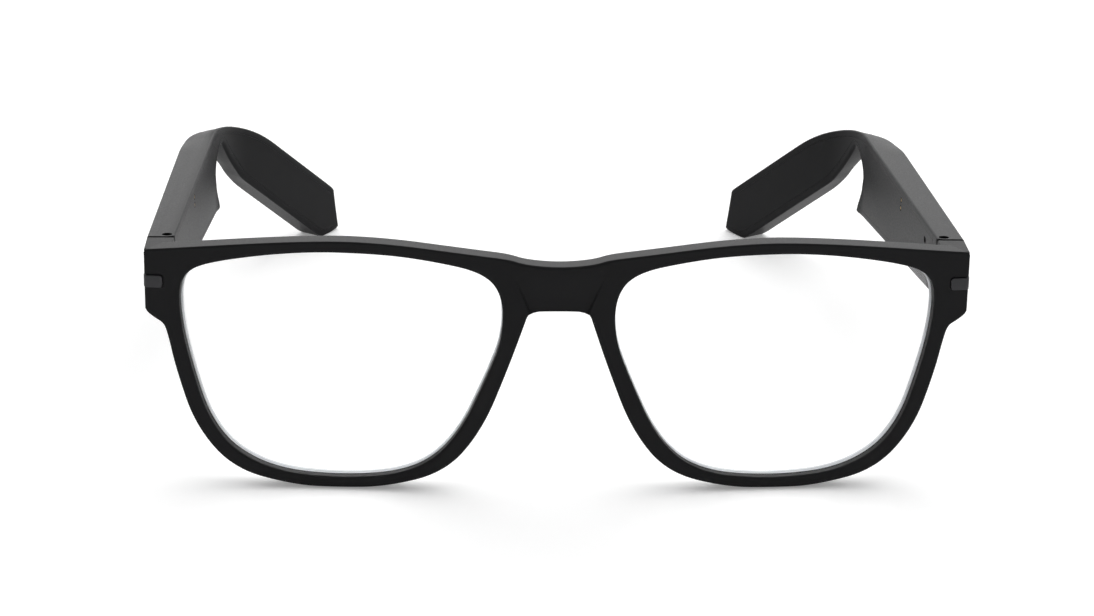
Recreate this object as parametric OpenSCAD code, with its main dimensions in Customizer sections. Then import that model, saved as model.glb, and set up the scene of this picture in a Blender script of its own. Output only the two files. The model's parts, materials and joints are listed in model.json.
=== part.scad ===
// Smart glasses: a moulded front with two lenses, and two folding temples that hold the electronics.
// X runs along the front (+X is the wearer's left), Y runs back to the temple tips, Z is up.
// The origin is on the ground under the middle of the bounding box, with the temples open.

/* [Front] */
// Width across the two endpieces
front_w = 147; // [142:1:152]
// Thickness of the rims from front to back
front_t = 4.2; // [3.9:0.1:4.6]
// Radius of the front's wrap around the face
wrap_r = 650; // [500:10:900]
// Angle that the front leans back, standing on its lower rims
lean = 3; // [0:0.5:4]
// Thickness of the plain lenses
lens_t = 1.8; // [1.6:0.1:2]

/* [Temples] */
// Width of a temple at the hinge
temple_w = 4.9; // [4.8:0.1:5.2]
// Width of a temple from the bend to the tip
tip_w = 6; // [5.6:0.1:6.4]
// Angle that the tip turns inward in plan
tip_turn = 33; // [25:1:34]
// Radius of the bend at the inner face, in plan
bend_r = 34; // [30:1:38]
// Thickness of the inner cover plate
cover_t = 1; // [0.8:0.1:1.1]
// Thickness of the shell's outer wall
wall_t = 1.2; // [1:0.1:1.3]

/* [Hinges] */
// Radius of the hinge barrels
barrel_r = 1.25; // [1.15:0.05:1.3]
// Radius of the hinge screw's shank
pin_r = 0.6; // [0.5:0.05:0.65]
// Radial clearance of the temple barrels on the screw
run_gap = 0.05; // [0.03:0.01:0.08]

/* [Button] */
// Length of the action button
button_l = 8; // [6:0.5:10]
// How far the button stands out of the underside
button_out = 0.5; // [0.45:0.05:0.7]

/* [Hidden] */
$fn = 48;

// Places shared by the pieces
half_w = front_w / 2;
shift_x = (front_w - 147) / 2;
drop = front_t * sin(lean);
split_y = 13;
split_gap = 0.15;
temple_y = split_y + split_gap;
knuckle_gap = 1.4;
inner_x = half_w - temple_w;
pin_x = inner_x + knuckle_gap;
pin_y = temple_y + knuckle_gap;
front_y = 0.5;
back_y = 144.2;
mid_y = (front_y + back_y) / 2;
block_top = 44;
block_bottom = 31.9;
// The block behind each endpiece stands in by this much from the rim's side
block_step = 0.05;
fit_gap = 0.02;

// Hinge barrels, stacked from the bottom
barrel_z = 35.1;
barrel_h = 1.2;
barrel_step = 1.25;
barrel_top = barrel_z + 4 * barrel_step + barrel_h;
leaf_x0 = pin_x - 0.05;
leaf_t = 0.9;
head_r = 0.86;
head_h = 0.6;
well_r = 0.95;

// Lens opening, as the control points of a smooth closed curve
lens_ctrl = [[46, 44.4], [62.4, 42], [66.9, 39.4], [67.6, 34], [66.3, 25], [61.9, 9.9], [52.6, 3.1],
    [39, 1.7], [25.8, 3.1], [18.2, 9.4], [12.5, 22], [10, 29], [10, 36.6], [13.4, 41], [23, 43.1],
    [32, 44.2]];
// Half of the front's outline, from the top of the bridge to the top of the nose gap
front_ctrl = [[0, 42], [6, 42.5], [9, 43.5], [14, 44.1], [33, 46.5], [48, 46.2], [73.2, 43.9],
    [73.5, 44.1], [73.5, 43.4], [73.5, 33.5], [73.5, 32.8], [71.8, 31.2], [70.3, 30.4], [69.6, 28.4],
    [68.2, 21.5], [65, 11], [58.2, 2.9], [47, 0.2], [40, 0], [31, 0.2], [20, 3.2], [13.4, 11.5],
    [9, 23], [6.2, 31.2], [5.4, 33.7], [3, 33.9]];
// Side view of a temple: each corner has its Y, Z and rounding radius, and runs anticlockwise
foot_y = 136.4;
past_tip = back_y + 1.5;
temple_ctrl = [[temple_y, 31.7, 0.4], [96.2, 20.5, 1.6], [96.4, 27.6, 3], [104, 31.2, 2.5],
    [112.8, 21.3, 8], [foot_y, 0, 2], [past_tip, 0, 0.3], [past_tip, 6.4, 0.3], [112.7, 35.2, 24],
    [temple_y, 44, 0.4]];
// Where the temple's inner face starts to bend, and how much it has moved in by then
bend_y = 94;
taper = tip_w - temple_w;
// Length of the straight tip after the bend
tip_l = 33.9;

// Quadratic curve through the middles of a control polygon's sides
function smooth(p, n = 4) = [for (i = [0 : len(p) - 1])
    let (a = (p[(i + len(p) - 1) % len(p)] + p[i]) / 2, c = (p[i] + p[(i + 1) % len(p)]) / 2)
    for (k = [0 : n - 1]) let (t = k / n) pow(1 - t, 2) * a + 2 * t * (1 - t) * p[i] + t * t * c];
function unit(v) = v / norm(v);
function left_of(v) = [-v[1], v[0]];
function flat(p) = [p[0], p[1]];
// Moves each corner of a closed outline to its left-hand side by d
function moved(p, d) = [for (i = [0 : len(p) - 1])
    let (a = flat(p[(i + len(p) - 1) % len(p)]), b = flat(p[i]), c = flat(p[(i + 1) % len(p)]),
        m = left_of(unit(b - a)), n = left_of(unit(c - b)), q = b + d * (m + n) / (1 + m * n))
    len(p[i]) == 2 ? q :
        [q[0], q[1], cross(b - a, c - b) > 0 ? max(p[i][2] - d, 0.25) : p[i][2] + d]];
// Replaces each corner by an arc of the corner's own radius
function rounded(p, n = 6) = [for (i = [0 : len(p) - 1])
    let (a = flat(p[(i + len(p) - 1) % len(p)]), b = flat(p[i]), c = flat(p[(i + 1) % len(p)]),
        u = unit(b - a), v = unit(c - b), turn = atan2(cross(u, v), u * v), r = p[i][2],
        side = turn > 0 ? 1 : -1, start = b - u * r * tan(abs(turn) / 2),
        centre = start + left_of(u) * r * side)
    for (k = [0 : n]) let (w = turn * k / n, e = start - centre)
        centre + [e[0] * cos(w) - e[1] * sin(w), e[0] * sin(w) + e[1] * cos(w)]];
function widened(p) = [for (q = p) [q[0] + (q[0] > 5 ? shift_x : 0), q[1]]];
function mirrored(p) = [for (i = [len(p) - 1 : -1 : 0]) [-p[i][0], p[i][1]]];
function tail(p) = [for (i = [1 : len(p) - 1]) p[i]];
// Height of a temple's lower edge at a place along it
function lower_z(y) = 31.7 - (y - temple_y) * (31.7 - 20.5) / (96.2 - temple_y);

front_outline = let (h = widened(front_ctrl)) smooth(concat(h, mirrored(tail(h))));
lens_outline = smooth(widened(lens_ctrl));

// Plan line of a temple at a distance d outward from its inner face
bend_x = half_w - tip_w;
bend_steps = 6;
function plan_line(d) = concat([[inner_x + d * temple_w / tip_w, temple_y]],
    [for (k = [0 : bend_steps]) let (w = tip_turn * k / bend_steps)
        [bend_x - bend_r + (bend_r + d) * cos(w), bend_y + (bend_r + d) * sin(w)]],
    [let (w = tip_turn) [bend_x - bend_r + (bend_r + d) * cos(w) - tip_l * sin(w),
        bend_y + (bend_r + d) * sin(w) + tip_l * cos(w)]]);
function reversed(p) = [for (i = [len(p) - 1 : -1 : 0]) p[i]];

module centred() {
    translate([0, -mid_y, 0]) children();
}
module on_side(side) {
    centred() mirror([side < 0 ? 1 : 0, 0, 0]) children();
}
module leaned() {
    translate([0, 0, drop]) rotate([-lean, 0, 0]) children();
}
// An outline in the front's plane, cut from a curved sheet between two depths
module sheet(outline, depth0, depth1) {
    intersection() {
        translate([0, 40, 0]) rotate([90, 0, 0]) linear_extrude(60) polygon(outline);
        translate([0, wrap_r, -10]) difference() {
            cylinder(r = wrap_r - depth0, h = 70, $fn = 180);
            translate([0, 0, -1]) cylinder(r = wrap_r - depth1, h = 72, $fn = 180);
        }
    }
}
// A side-view outline drawn in Y and Z, made solid between two places along X
module side_prism(outline, x0, x1) {
    translate([x0, 0, 0]) rotate([90, 0, 90]) linear_extrude(x1 - x0) polygon(outline);
}
// The stretch of a temple between two distances from its inner face
module band(d0, d1) {
    linear_extrude(60) polygon(concat(plan_line(d1), reversed(plan_line(d0))));
}
// A temple-shaped solid: inset in the side view, between two distances in plan, from y0 to y1
module temple_layer(inset, d0, d1, y0, y1) {
    intersection() {
        translate([0, 0, -5]) band(d0, d1);
        side_prism(rounded(moved(temple_ctrl, inset)), 20, 80);
        translate([20, y0, -5]) cube([60, y1 - y0, 60]);
    }
}
// Cuts off what lies beyond the tip's end face, moved in by d
module before_tip(d) {
    intersection() {
        children();
        tip_frame() translate([-100, -150, -10]) cube([200, 150 + tip_l - d, 70]);
    }
}
// Local axes of the straight tip: x outward, y along it, from the end of the bend's inner face
module tip_frame() {
    translate([bend_x - bend_r + bend_r * cos(tip_turn), bend_y + bend_r * sin(tip_turn), 0])
        rotate([0, 0, tip_turn]) children();
}
// A capsule between two points
module capsule(a, b, r) {
    axis = b - a;
    translate(a) rotate([0, acos(axis[2] / norm(axis)), atan2(axis[1], axis[0])]) rotate_extrude()
        intersection() {
            union() {
                circle(r = r);
                translate([0, norm(axis)]) circle(r = r);
                translate([-r, 0]) square([2 * r, norm(axis)]);
            }
            translate([0, -r]) square([r, norm(axis) + 2 * r]);
        }
}

// ---- Front ----
plaque_z = 37;
plaque_h = 2.2;
plaque_l = 3.2;
plaque_out = 0.15;
plaque_in = 0.5;
plaque_end_y = 12;
module plaque_shape(side) {
    on_side(side) {
        leaned() sheet([[half_w - plaque_l, plaque_z], [half_w + plaque_out, plaque_z],
            [half_w + plaque_out, plaque_z + plaque_h], [half_w - plaque_l, plaque_z + plaque_h]],
            -plaque_out, plaque_in);
        translate([half_w - plaque_in, 6.2, plaque_z + drop])
            cube([plaque_in + plaque_out, plaque_end_y - 6.2, plaque_h]);
    }
}
module endpiece_plaque(side) {
    color([0.16, 0.16, 0.17]) plaque_shape(side);
}

module lens_shape(side, gap) {
    on_side(side) leaned() {
        sheet(lens_outline, 1.9, 1.9 + lens_t);
        sheet(moved(lens_outline, 0.6 + gap), 2.3 - gap, 3.1 + gap);
    }
}
module lens(side) {
    color([0.92, 0.95, 0.96, 0.35]) lens_shape(side, 0);
}

leaf_front_y = 8.6;
front_screw_y = 10.8;
screw_r = 0.5;
screw_z = [36.6, 39.8];
module front_frame() {
    color([0.07, 0.07, 0.075]) difference() {
        union() {
            centred() leaned() sheet(front_outline, 0, front_t);
            for (side = [-1, 1]) on_side(side)
                translate([inner_x, 8, block_bottom])
                    cube([temple_w - block_step, split_y - 8, block_top - block_bottom]);
        }
        for (side = [-1, 1]) {
            on_side(side) leaned() {
                sheet(lens_outline, -2, front_t + 3);
                sheet(moved(lens_outline, 0.62), 2.28, 3.12);
            }
            plaque_shape(side);
            on_side(side) {
                translate([leaf_x0 - fit_gap, leaf_front_y, barrel_z - 0.05])
                    cube([leaf_t + 2 * fit_gap, 10, barrel_top - barrel_z + 0.1]);
                for (z = screw_z) translate([inner_x - 1, front_screw_y, z]) rotate([0, 90, 0])
                    cylinder(r = screw_r + fit_gap, h = 4.2);
            }
        }
    }
}

module nose_pad(side) {
    color([0.12, 0.12, 0.13]) on_side(side) leaned() difference() {
        capsule([9.6, front_t + 0.9, 27.5], [13, front_t + 1.2, 16.5], 1.5);
        sheet([[0, 0], [30, 0], [30, 40], [0, 40]], -3, front_t);
    }
}

// ---- Hinges ----
module barrels(which, bore_r) {
    for (i = which) translate([pin_x, pin_y, barrel_z + i * barrel_step]) difference() {
        cylinder(r = barrel_r, h = barrel_h);
        translate([0, 0, -1]) cylinder(r = bore_r, h = barrel_h + 2);
    }
}
// A leaf's plate joined to its barrels, with its two screw holes
module hinge_leaf(which, bore_r, y0, y1, hole_y) {
    difference() {
        union() {
            translate([leaf_x0, y0, barrel_z])
                cube([leaf_t, y1 - y0, barrel_top - barrel_z]);
            for (i = which) translate([leaf_x0, min(pin_y, y0), barrel_z + i * barrel_step])
                cube([leaf_t, max(y1, pin_y) - min(pin_y, y0), barrel_h]);
            barrels(which, 0.1);
        }
        translate([pin_x, pin_y, barrel_z - 1]) cylinder(r = bore_r, h = 10);
        for (z = screw_z) translate([leaf_x0 - 1, hole_y, z]) rotate([0, 90, 0])
            cylinder(r = screw_r + fit_gap, h = leaf_t + 2);
    }
}
module front_hinge_leaf(side) {
    color([0.55, 0.56, 0.58]) on_side(side)
        hinge_leaf([0, 2, 4], pin_r + 0.01, leaf_front_y + 0.05, pin_y - barrel_r - 0.2, front_screw_y);
}
leaf_back_y = 24;
temple_screw_y = 20.5;
module temple_hinge_leaf(side) {
    color([0.55, 0.56, 0.58]) on_side(side)
        hinge_leaf([1, 3], pin_r + run_gap, pin_y + barrel_r + 0.2, leaf_back_y, temple_screw_y);
}
// Two countersunk screws along X that hold a leaf
module leaf_screws(y, x0, shank) {
    for (z = screw_z) translate([x0, y, z]) rotate([0, 90, 0]) cylinder(r = screw_r, h = shank);
}
module front_leaf_screws(side) {
    color([0.62, 0.62, 0.64]) on_side(side) leaf_screws(front_screw_y, inner_x + 0.3, 2.8);
}
module temple_leaf_screws(side) {
    color([0.62, 0.62, 0.64]) on_side(side) leaf_screws(temple_screw_y, leaf_x0 - 0.3, 2.2);
}
module hinge_screw(side) {
    color([0.7, 0.7, 0.72]) on_side(side) translate([pin_x, pin_y, 0]) difference() {
        union() {
            translate([0, 0, barrel_z]) cylinder(r = pin_r, h = barrel_top - barrel_z);
            translate([0, 0, barrel_top]) cylinder(r = head_r, h = head_h);
        }
        translate([-1, -0.12, barrel_top + head_h - 0.25]) cube([2, 0.24, 1]);
    }
}

// ---- Temples ----
cover_y = 17.5;
cavity_y = 26;
cover_inset = 1.3;
cavity_inset = 1.6;
mic_y = 25;
mic_z = 40;
contact_y = 51.5;
contact_z = [36.6, 38.2];
contact_r = 0.3;
button_y = 44;
button_w = 1.8;
button_x = pin_x + 0.8;
slope = atan((31.7 - 20.5) / (96.2 - temple_y));
port_y = 84;
port_l = 9;
port_w = 1.6;
port_x = pin_x + 0.2;

// Local axes on a temple's underside: y along the edge, z into the temple
module on_underside(x, y) {
    translate([x, y, lower_z(y)]) rotate([-slope, 0, 0]) children();
}
// A slot shape with round ends, its length along y
module pill(l, w, h) {
    linear_extrude(h) union() {
        square([w, l - w], center = true);
        for (e = [-1, 1]) translate([0, e * (l - w) / 2]) circle(r = w / 2);
    }
}
module cover_shape(gap) {
    before_tip(cover_inset - gap)
        temple_layer(cover_inset - gap, -1, cover_t, cover_y - gap, 160);
}

module temple_shell(side) {
    color([0.08, 0.08, 0.085]) on_side(side) difference() {
        temple_layer(0, 0, tip_w, temple_y, 160);
        // the corner beside the hinge turns about the pin
        difference() {
            translate([inner_x - 1, temple_y - 1, 0]) cube([1 + knuckle_gap, 1 + knuckle_gap, 60]);
            translate([pin_x, pin_y, -1]) cylinder(r = knuckle_gap, h = 62);
        }
        // room for the barrels, open to the front and to the inner side
        translate([pin_x, pin_y, barrel_z - 0.1]) {
            cylinder(r = barrel_r + 0.2, h = barrel_top - barrel_z + 0.2);
            translate([-4, -4, 0])
                cube([5 + leaf_t - 1, 4 + barrel_r + 0.2, barrel_top - barrel_z + 0.2]);
        }
        translate([pin_x, pin_y, barrel_z]) cylinder(r = well_r, h = 20);
        translate([pin_x, pin_y, barrel_z - 1]) cylinder(r = pin_r + 0.1, h = 2);
        // seat of the hinge leaf and its screws
        translate([inner_x - 1, pin_y, barrel_z - 0.1])
            cube([leaf_x0 + leaf_t + fit_gap - inner_x + 1, leaf_back_y - pin_y + 0.1,
                barrel_top - barrel_z + 0.2]);
        for (z = screw_z) translate([leaf_x0, temple_screw_y, z]) rotate([0, 90, 0])
            cylinder(r = screw_r + fit_gap, h = 2.2);
        cover_shape(0);
        before_tip(cavity_inset)
            temple_layer(cavity_inset, cover_t - 0.1, tip_w - wall_t, cavity_y, 160);
        on_underside(button_x, button_y) translate([0, 0, -2]) pill(button_l + 0.3, button_w + 0.3, 4.5);
        on_underside(port_x, port_y) translate([0, 0, -2]) pill(port_l, port_w, 4.5);
    }
}
module temple_cover(side) {
    color([0.09, 0.09, 0.095]) on_side(side) difference() {
        intersection() {
            cover_shape(0);
            temple_layer(0, 0, cover_t, 0, 160);
        }
        for (z = contact_z) translate([60, contact_y, z]) rotate([0, 90, 0])
            cylinder(r = contact_r + 0.01, h = 12);
        if (side > 0) translate([60, mic_y, mic_z]) rotate([90, 0, 90]) pill(2, 0.7, 12);
    }
}
module speaker_mesh(side) {
    color([0.2, 0.2, 0.21]) on_side(side)
        on_underside(port_x, port_y) translate([0, 0, 0.4]) pill(port_l - 0.04, port_w - 0.04, 0.5);
}
module action_button(side) {
    color([0.11, 0.11, 0.115]) on_side(side) on_underside(button_x, button_y) {
        translate([0, 0, -button_out]) pill(button_l, button_w, button_out + 2.3);
        translate([0, 0, 1.75]) pill(button_l + 0.8, button_w + 0.8, 0.55);
    }
}
module button_switch(side) {
    color([0.75, 0.75, 0.76]) on_side(side) on_underside(button_x, button_y) {
        translate([-0.9, -1.6, 3.3]) cube([1.8, 3.2, 1.1]);
        translate([0, 0, 2.8]) cylinder(r = 0.6, h = 0.5);
    }
}

// ---- Electronics ----
board_x = pin_x + 0.3;
board_t = 0.6;
board_y = [30, 74];
chip_list = [[33, 4, 3], [52, 6, 5], [60, 4, 4], [67, 3.5, 3]];
module circuit_board(side) {
    color([0.05, 0.25, 0.14]) on_side(side) {
        side_prism([[board_y[0], lower_z(board_y[0]) + 4.8], [board_y[1], lower_z(board_y[1]) + 4.8],
            [board_y[1], lower_z(board_y[1]) + 11], [board_y[0], lower_z(board_y[0]) + 9.5]],
            board_x, board_x + board_t);
        for (c = chip_list) translate([board_x - 0.6, c[0], lower_z(c[0]) + 5.2])
            cube([0.7, c[1], c[2]]);
    }
}
module speaker(side) {
    color([0.3, 0.3, 0.32]) on_side(side) translate([pin_x - 0.6, 78.5, 24.8]) {
        cube([2.6, 13, 8.4]);
        translate([-0.3, 6.5, 4.2]) rotate([0, 90, 0]) cylinder(r = 3.4, h = 0.4);
    }
}
cell_tilt = -37.5;
cell_size = [3, 20, 6.2];
module battery(side) {
    color([0.5, 0.52, 0.55]) on_side(side) tip_frame()
        translate([cover_t + 0.3, 15.6, 15.4]) rotate([cell_tilt, 0, 0])
            translate([0, -cell_size[1] / 2, -cell_size[2] / 2]) cube(cell_size);
}
module battery_lead(side) {
    color([0.7, 0.45, 0.12]) on_side(side) intersection() {
        translate([0, 0, -5]) band(2.6, 2.8);
        side_prism([[74.5, 33.4], [98, 33.5], [104.5, 33.2], [112.5, 26.6], [113.5, 27.6], [105, 34.2],
            [98, 34.5], [74.5, 34.5]], 20, 80);
    }
}
module touch_sensor(side) {
    color([0.65, 0.5, 0.2]) on_side(side) translate([half_w - wall_t - 0.15, 28, 0])
        side_prism([[0, 33], [40, 28.5], [40, 35.5], [0, 40]], 0, 0.15);
}
module charge_contacts(side) {
    color([0.85, 0.68, 0.3]) on_side(side) for (z = contact_z)
        translate([inner_x - 0.5, contact_y, z]) rotate([0, 90, 0]) cylinder(r = contact_r, h = 1.7);
}
module charge_magnet(side) {
    color([0.6, 0.6, 0.62]) on_side(side) translate([inner_x + 0.75, 46.5, 37.6])
        rotate([0, 90, 0]) cylinder(r = 1.5, h = 0.8);
}
module microphone(side) {
    color([0.8, 0.8, 0.82]) on_side(side)
        translate([inner_x + 1, cavity_y + 0.1, mic_z - 1.6]) cube([0.9, 2.6, 2.2]);
}

front_frame();
lens(1);  // lens_left
lens(-1);  // lens_right
endpiece_plaque(1);  // endpiece_plaque_left
endpiece_plaque(-1);  // endpiece_plaque_right
nose_pad(1);  // nose_pad_left
nose_pad(-1);  // nose_pad_right
front_hinge_leaf(1);  // front_hinge_leaf_left
front_hinge_leaf(-1);  // front_hinge_leaf_right
front_leaf_screws(1);  // front_leaf_screws_left
front_leaf_screws(-1);  // front_leaf_screws_right
hinge_screw(1);  // hinge_screw_left
hinge_screw(-1);  // hinge_screw_right
temple_shell(1);  // temple_shell_left
temple_shell(-1);  // temple_shell_right
temple_cover(1);  // temple_cover_left
temple_cover(-1);  // temple_cover_right
temple_hinge_leaf(1);  // temple_hinge_leaf_left
temple_hinge_leaf(-1);  // temple_hinge_leaf_right
temple_leaf_screws(1);  // temple_leaf_screws_left
temple_leaf_screws(-1);  // temple_leaf_screws_right
circuit_board(1);  // circuit_board_left
circuit_board(-1);  // circuit_board_right
speaker(1);  // speaker_left
speaker(-1);  // speaker_right
speaker_mesh(1);  // speaker_mesh_left
speaker_mesh(-1);  // speaker_mesh_right
battery(1);  // battery_left
battery(-1);  // battery_right
battery_lead(1);  // battery_lead_left
battery_lead(-1);  // battery_lead_right
touch_sensor(1);  // touch_sensor_left
touch_sensor(-1);  // touch_sensor_right
charge_contacts(1);  // charge_contacts_left
charge_contacts(-1);  // charge_contacts_right
charge_magnet(1);  // charge_magnet_left
charge_magnet(-1);  // charge_magnet_right
action_button(1);  // action_button_left
action_button(-1);  // action_button_right
button_switch(1);  // button_switch_left
button_switch(-1);  // button_switch_right
microphone(1);  // microphone_left
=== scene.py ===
import json
import math

import bmesh
import bpy
import numpy as np
from mathutils import Matrix, Vector


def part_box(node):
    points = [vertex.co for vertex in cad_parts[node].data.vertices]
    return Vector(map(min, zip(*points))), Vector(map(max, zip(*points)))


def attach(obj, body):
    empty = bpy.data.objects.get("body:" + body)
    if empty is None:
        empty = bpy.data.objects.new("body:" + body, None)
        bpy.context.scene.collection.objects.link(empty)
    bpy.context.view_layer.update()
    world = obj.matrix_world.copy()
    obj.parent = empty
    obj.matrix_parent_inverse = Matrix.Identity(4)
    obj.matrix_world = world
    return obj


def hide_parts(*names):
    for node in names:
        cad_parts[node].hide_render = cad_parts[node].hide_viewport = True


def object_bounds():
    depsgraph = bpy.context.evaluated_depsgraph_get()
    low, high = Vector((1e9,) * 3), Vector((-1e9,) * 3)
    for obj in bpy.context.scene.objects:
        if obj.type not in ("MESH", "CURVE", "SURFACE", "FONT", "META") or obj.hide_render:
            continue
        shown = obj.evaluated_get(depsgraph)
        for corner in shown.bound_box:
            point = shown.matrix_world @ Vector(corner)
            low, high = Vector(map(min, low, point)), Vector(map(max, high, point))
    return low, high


# Smart glasses: a moulded black front, two plain lenses and two folding temples that hold the electronics.
# Shapes are worked out in millimetres in the frame's own axes: X across, Y back to the temple tips, Z up.
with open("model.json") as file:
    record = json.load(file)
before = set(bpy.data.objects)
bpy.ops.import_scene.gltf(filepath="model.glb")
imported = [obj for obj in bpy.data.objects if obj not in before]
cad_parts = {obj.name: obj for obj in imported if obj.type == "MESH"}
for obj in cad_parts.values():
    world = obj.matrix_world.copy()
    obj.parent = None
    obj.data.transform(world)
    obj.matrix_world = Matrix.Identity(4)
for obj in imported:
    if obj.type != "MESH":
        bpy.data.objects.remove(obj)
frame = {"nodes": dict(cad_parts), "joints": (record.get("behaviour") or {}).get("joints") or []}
cad_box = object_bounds()


# ---- Front moulding ----
# The rims, bridge and both endpieces are one injection moulding in black nylon, standing on the lower rims.
# Its tool is curved around the face and leans back a little, and every edge is rounded by the tool.
# The lens openings are cut through it with a groove that the lenses snap into.
MM = 0.001
SPLIT_Y = 13
origin_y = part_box("front_frame")[1].y / MM - SPLIT_Y
half_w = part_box("front_frame")[1].x / MM
wrap_r = 650
lean = math.radians(3)
front_t = 4.2
drop = front_t * math.sin(lean)
edge_r = 0.35
bridge_edge_r = 0.5
bridge_half = 9.4
rear_relief = 0.35
lens_ctrl = [(46, 44.4), (62.4, 42), (66.9, 39.4), (67.6, 34), (66.3, 25), (61.9, 9.9), (52.6, 3.1),
             (39, 1.7), (25.8, 3.1), (18.2, 9.4), (12.5, 22), (10, 29), (10, 36.6), (13.4, 41), (23, 43.1),
             (32, 44.2)]
front_ctrl = [(0, 42), (6, 42.5), (9, 43.5), (14, 44.1), (33, 46.5), (48, 46.2), (72.4, 44.0),
              (73.5, 43.95), (73.5, 42.9), (73.5, 33.6), (73.5, 32.6), (71.8, 31.2), (70.3, 30.4),
              (69.6, 28.4), (68.2, 21.5), (65, 11), (58.2, 2.9), (47, 0.2), (40, 0), (31, 0.2), (20, 3.2),
              (13.4, 11.5), (9, 23), (6.2, 31.2), (5.4, 33.7), (3, 33.9)]
# Places where the outer edge and the lens opening face each other across the rim
facing = [((0, 42.1), (13.2, 40.2)), ((14, 44.2), (20, 42.4)), ((46, 46.2), (46, 44.1)),
          ((73.3, 43.9), (65.6, 39.8)), ((73.5, 33), (67.3, 33.5)), ((69.9, 29.3), (66.8, 29.5)),
          ((60.4, 5.4), (58.8, 6.7)), ((40, 0.1), (40, 1.8)), ((18, 5.5), (20, 7.5)),
          ((9.3, 22), (12.9, 21)), ((5.8, 33.2), (10.1, 30.4)), ((0, 33.9), (10, 33.2))]
# Shares of the way across a rim, close together where the bridge's creases run
across_rim = np.concatenate([np.linspace(0, 0.4, 5), np.linspace(0.4, 0.7, 25)[1:],
                             np.linspace(0.7, 1, 4)[1:]])
centre_steps = 18
# The facet let into the bridge: its depth, its half width at the foot, the foot's height, and how fast
# it widens upward
facet_depth = 0.45
facet_half = 5.15
facet_foot = 33.5
facet_flare = 0.42
# The groove for the lens: how far it cuts into the rim, and how far back from the front face
groove = [(0, 1.84), (0, 1.88), (0.62, 2.28), (0.62, 3.12)]


def smooth_curve(ctrl, steps=10):
    """Closed quadratic curve through the middles of a control polygon's sides."""
    p = np.array(ctrl, float)
    before = (np.roll(p, 1, 0) + p) / 2
    after = (p + np.roll(p, -1, 0)) / 2
    t = (np.arange(steps) / steps)[None, :, None]
    curve = (1 - t) ** 2 * before[:, None] + 2 * t * (1 - t) * p[:, None] + t * t * after[:, None]
    return curve.reshape(-1, 2)


def resample(points, count):
    """count + 1 points at equal distances along an open line."""
    along = np.concatenate([[0], np.cumsum(np.linalg.norm(np.diff(points, axis=0), axis=1))])
    at = np.linspace(0, along[-1], count + 1)
    return np.stack([np.interp(at, along, points[:, k]) for k in range(points.shape[1])], 1)


def normals_left(points, closed):
    """Unit normals on the left-hand side of a line."""
    if closed:
        run = np.roll(points, -1, 0) - np.roll(points, 1, 0)
    else:
        run = np.gradient(points, axis=0)
    run = run / np.linalg.norm(run, axis=1)[:, None]
    return np.stack([-run[:, 1], run[:, 0]], 1)


def nearest(points, place):
    return int(np.argmin(np.linalg.norm(points - np.array(place), axis=1)))


def smoothstep(x, low, high):
    t = np.clip((x - low) / (high - low), 0, 1)
    return t * t * (3 - 2 * t)


def at_front(flat, depth):
    """Points on the front's curved, leaning sheet. flat holds x and height, and depth runs back from the
    front face."""
    x, v = flat[..., 0], flat[..., 1]
    y = wrap_r - np.sqrt((wrap_r - depth) ** 2 - x ** 2)
    return np.stack([x, y * math.cos(lean) + v * math.sin(lean) + origin_y,
                     v * math.cos(lean) - y * math.sin(lean) + drop], -1)


def narrowed(flat, depth):
    """The lens opening closes in toward the nose with depth, square to the wrapped sheet."""
    return np.asarray(flat) * np.array([1 - depth / wrap_r, 1])


def quarter(steps=4):
    """(share of the radius in from the edge, share of the radius down from the face) along a rounded edge."""
    return [(1 - math.sin(a), 1 - math.cos(a)) for a in np.linspace(0, math.pi / 2, steps + 1)]


def skin(loops, closed=True):
    """Vertices and quads between neighbouring loops of equal length."""
    n = len(loops[0])
    faces = [(r * n + i, r * n + (i + 1) % n, (r + 1) * n + (i + 1) % n, (r + 1) * n + i)
             for r in range(len(loops) - 1) for i in range(n if closed else n - 1)]
    return np.concatenate(loops), faces


def mesh_of(name, parts, weld=0.0005):
    """One object from parts in mm, with its seams welded and its faces turned outward.
    A part may end with the number of its material on the piece."""
    verts, faces, numbers = [], [], []
    for part_verts, part_faces, *number in parts:
        start = sum(len(v) for v in verts)
        verts.append(part_verts)
        faces += [tuple(start + i for i in f) for f in part_faces]
        numbers += (number or [0]) * len(part_faces)
    mesh = bpy.data.meshes.new(name)
    mesh.from_pydata(np.concatenate(verts) * MM, [], faces)
    mesh.polygons.foreach_set("material_index", numbers)
    bm = bmesh.new()
    bm.from_mesh(mesh)
    bmesh.ops.remove_doubles(bm, verts=bm.verts, dist=weld * MM)
    bmesh.ops.dissolve_degenerate(bm, edges=bm.edges, dist=weld * MM)
    bmesh.ops.recalc_face_normals(bm, faces=bm.faces)
    bm.to_mesh(mesh)
    bm.free()
    obj = bpy.data.objects.new(name, mesh)
    bpy.context.scene.collection.objects.link(obj)
    return obj


def apply_modifiers(obj):
    """The object keeps the mesh that its modifiers make."""
    bpy.context.view_layer.update()
    made = bpy.data.meshes.new_from_object(obj.evaluated_get(bpy.context.evaluated_depsgraph_get()))
    obj.modifiers.clear()
    obj.data = made
    return obj


def combine(obj, tools, operation):
    """Joins tools to obj, or cuts them out of it, and removes them."""
    for tool in tools:
        step = obj.modifiers.new("tool", "BOOLEAN")
        step.object = tool
        step.operation = operation
        step.solver = "EXACT"
    apply_modifiers(obj)
    for tool in tools:
        bpy.data.objects.remove(tool)
    return obj


def smooth_faces(obj, angle=32):
    """Smooth faces with crisp edges, and normals that keep the broad faces flat."""
    obj.data.shade_smooth()
    obj.data.set_sharp_from_angle(angle=math.radians(angle))
    weighted = obj.modifiers.new("normals", "WEIGHTED_NORMAL")
    weighted.keep_sharp = True
    return apply_modifiers(obj)


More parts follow.
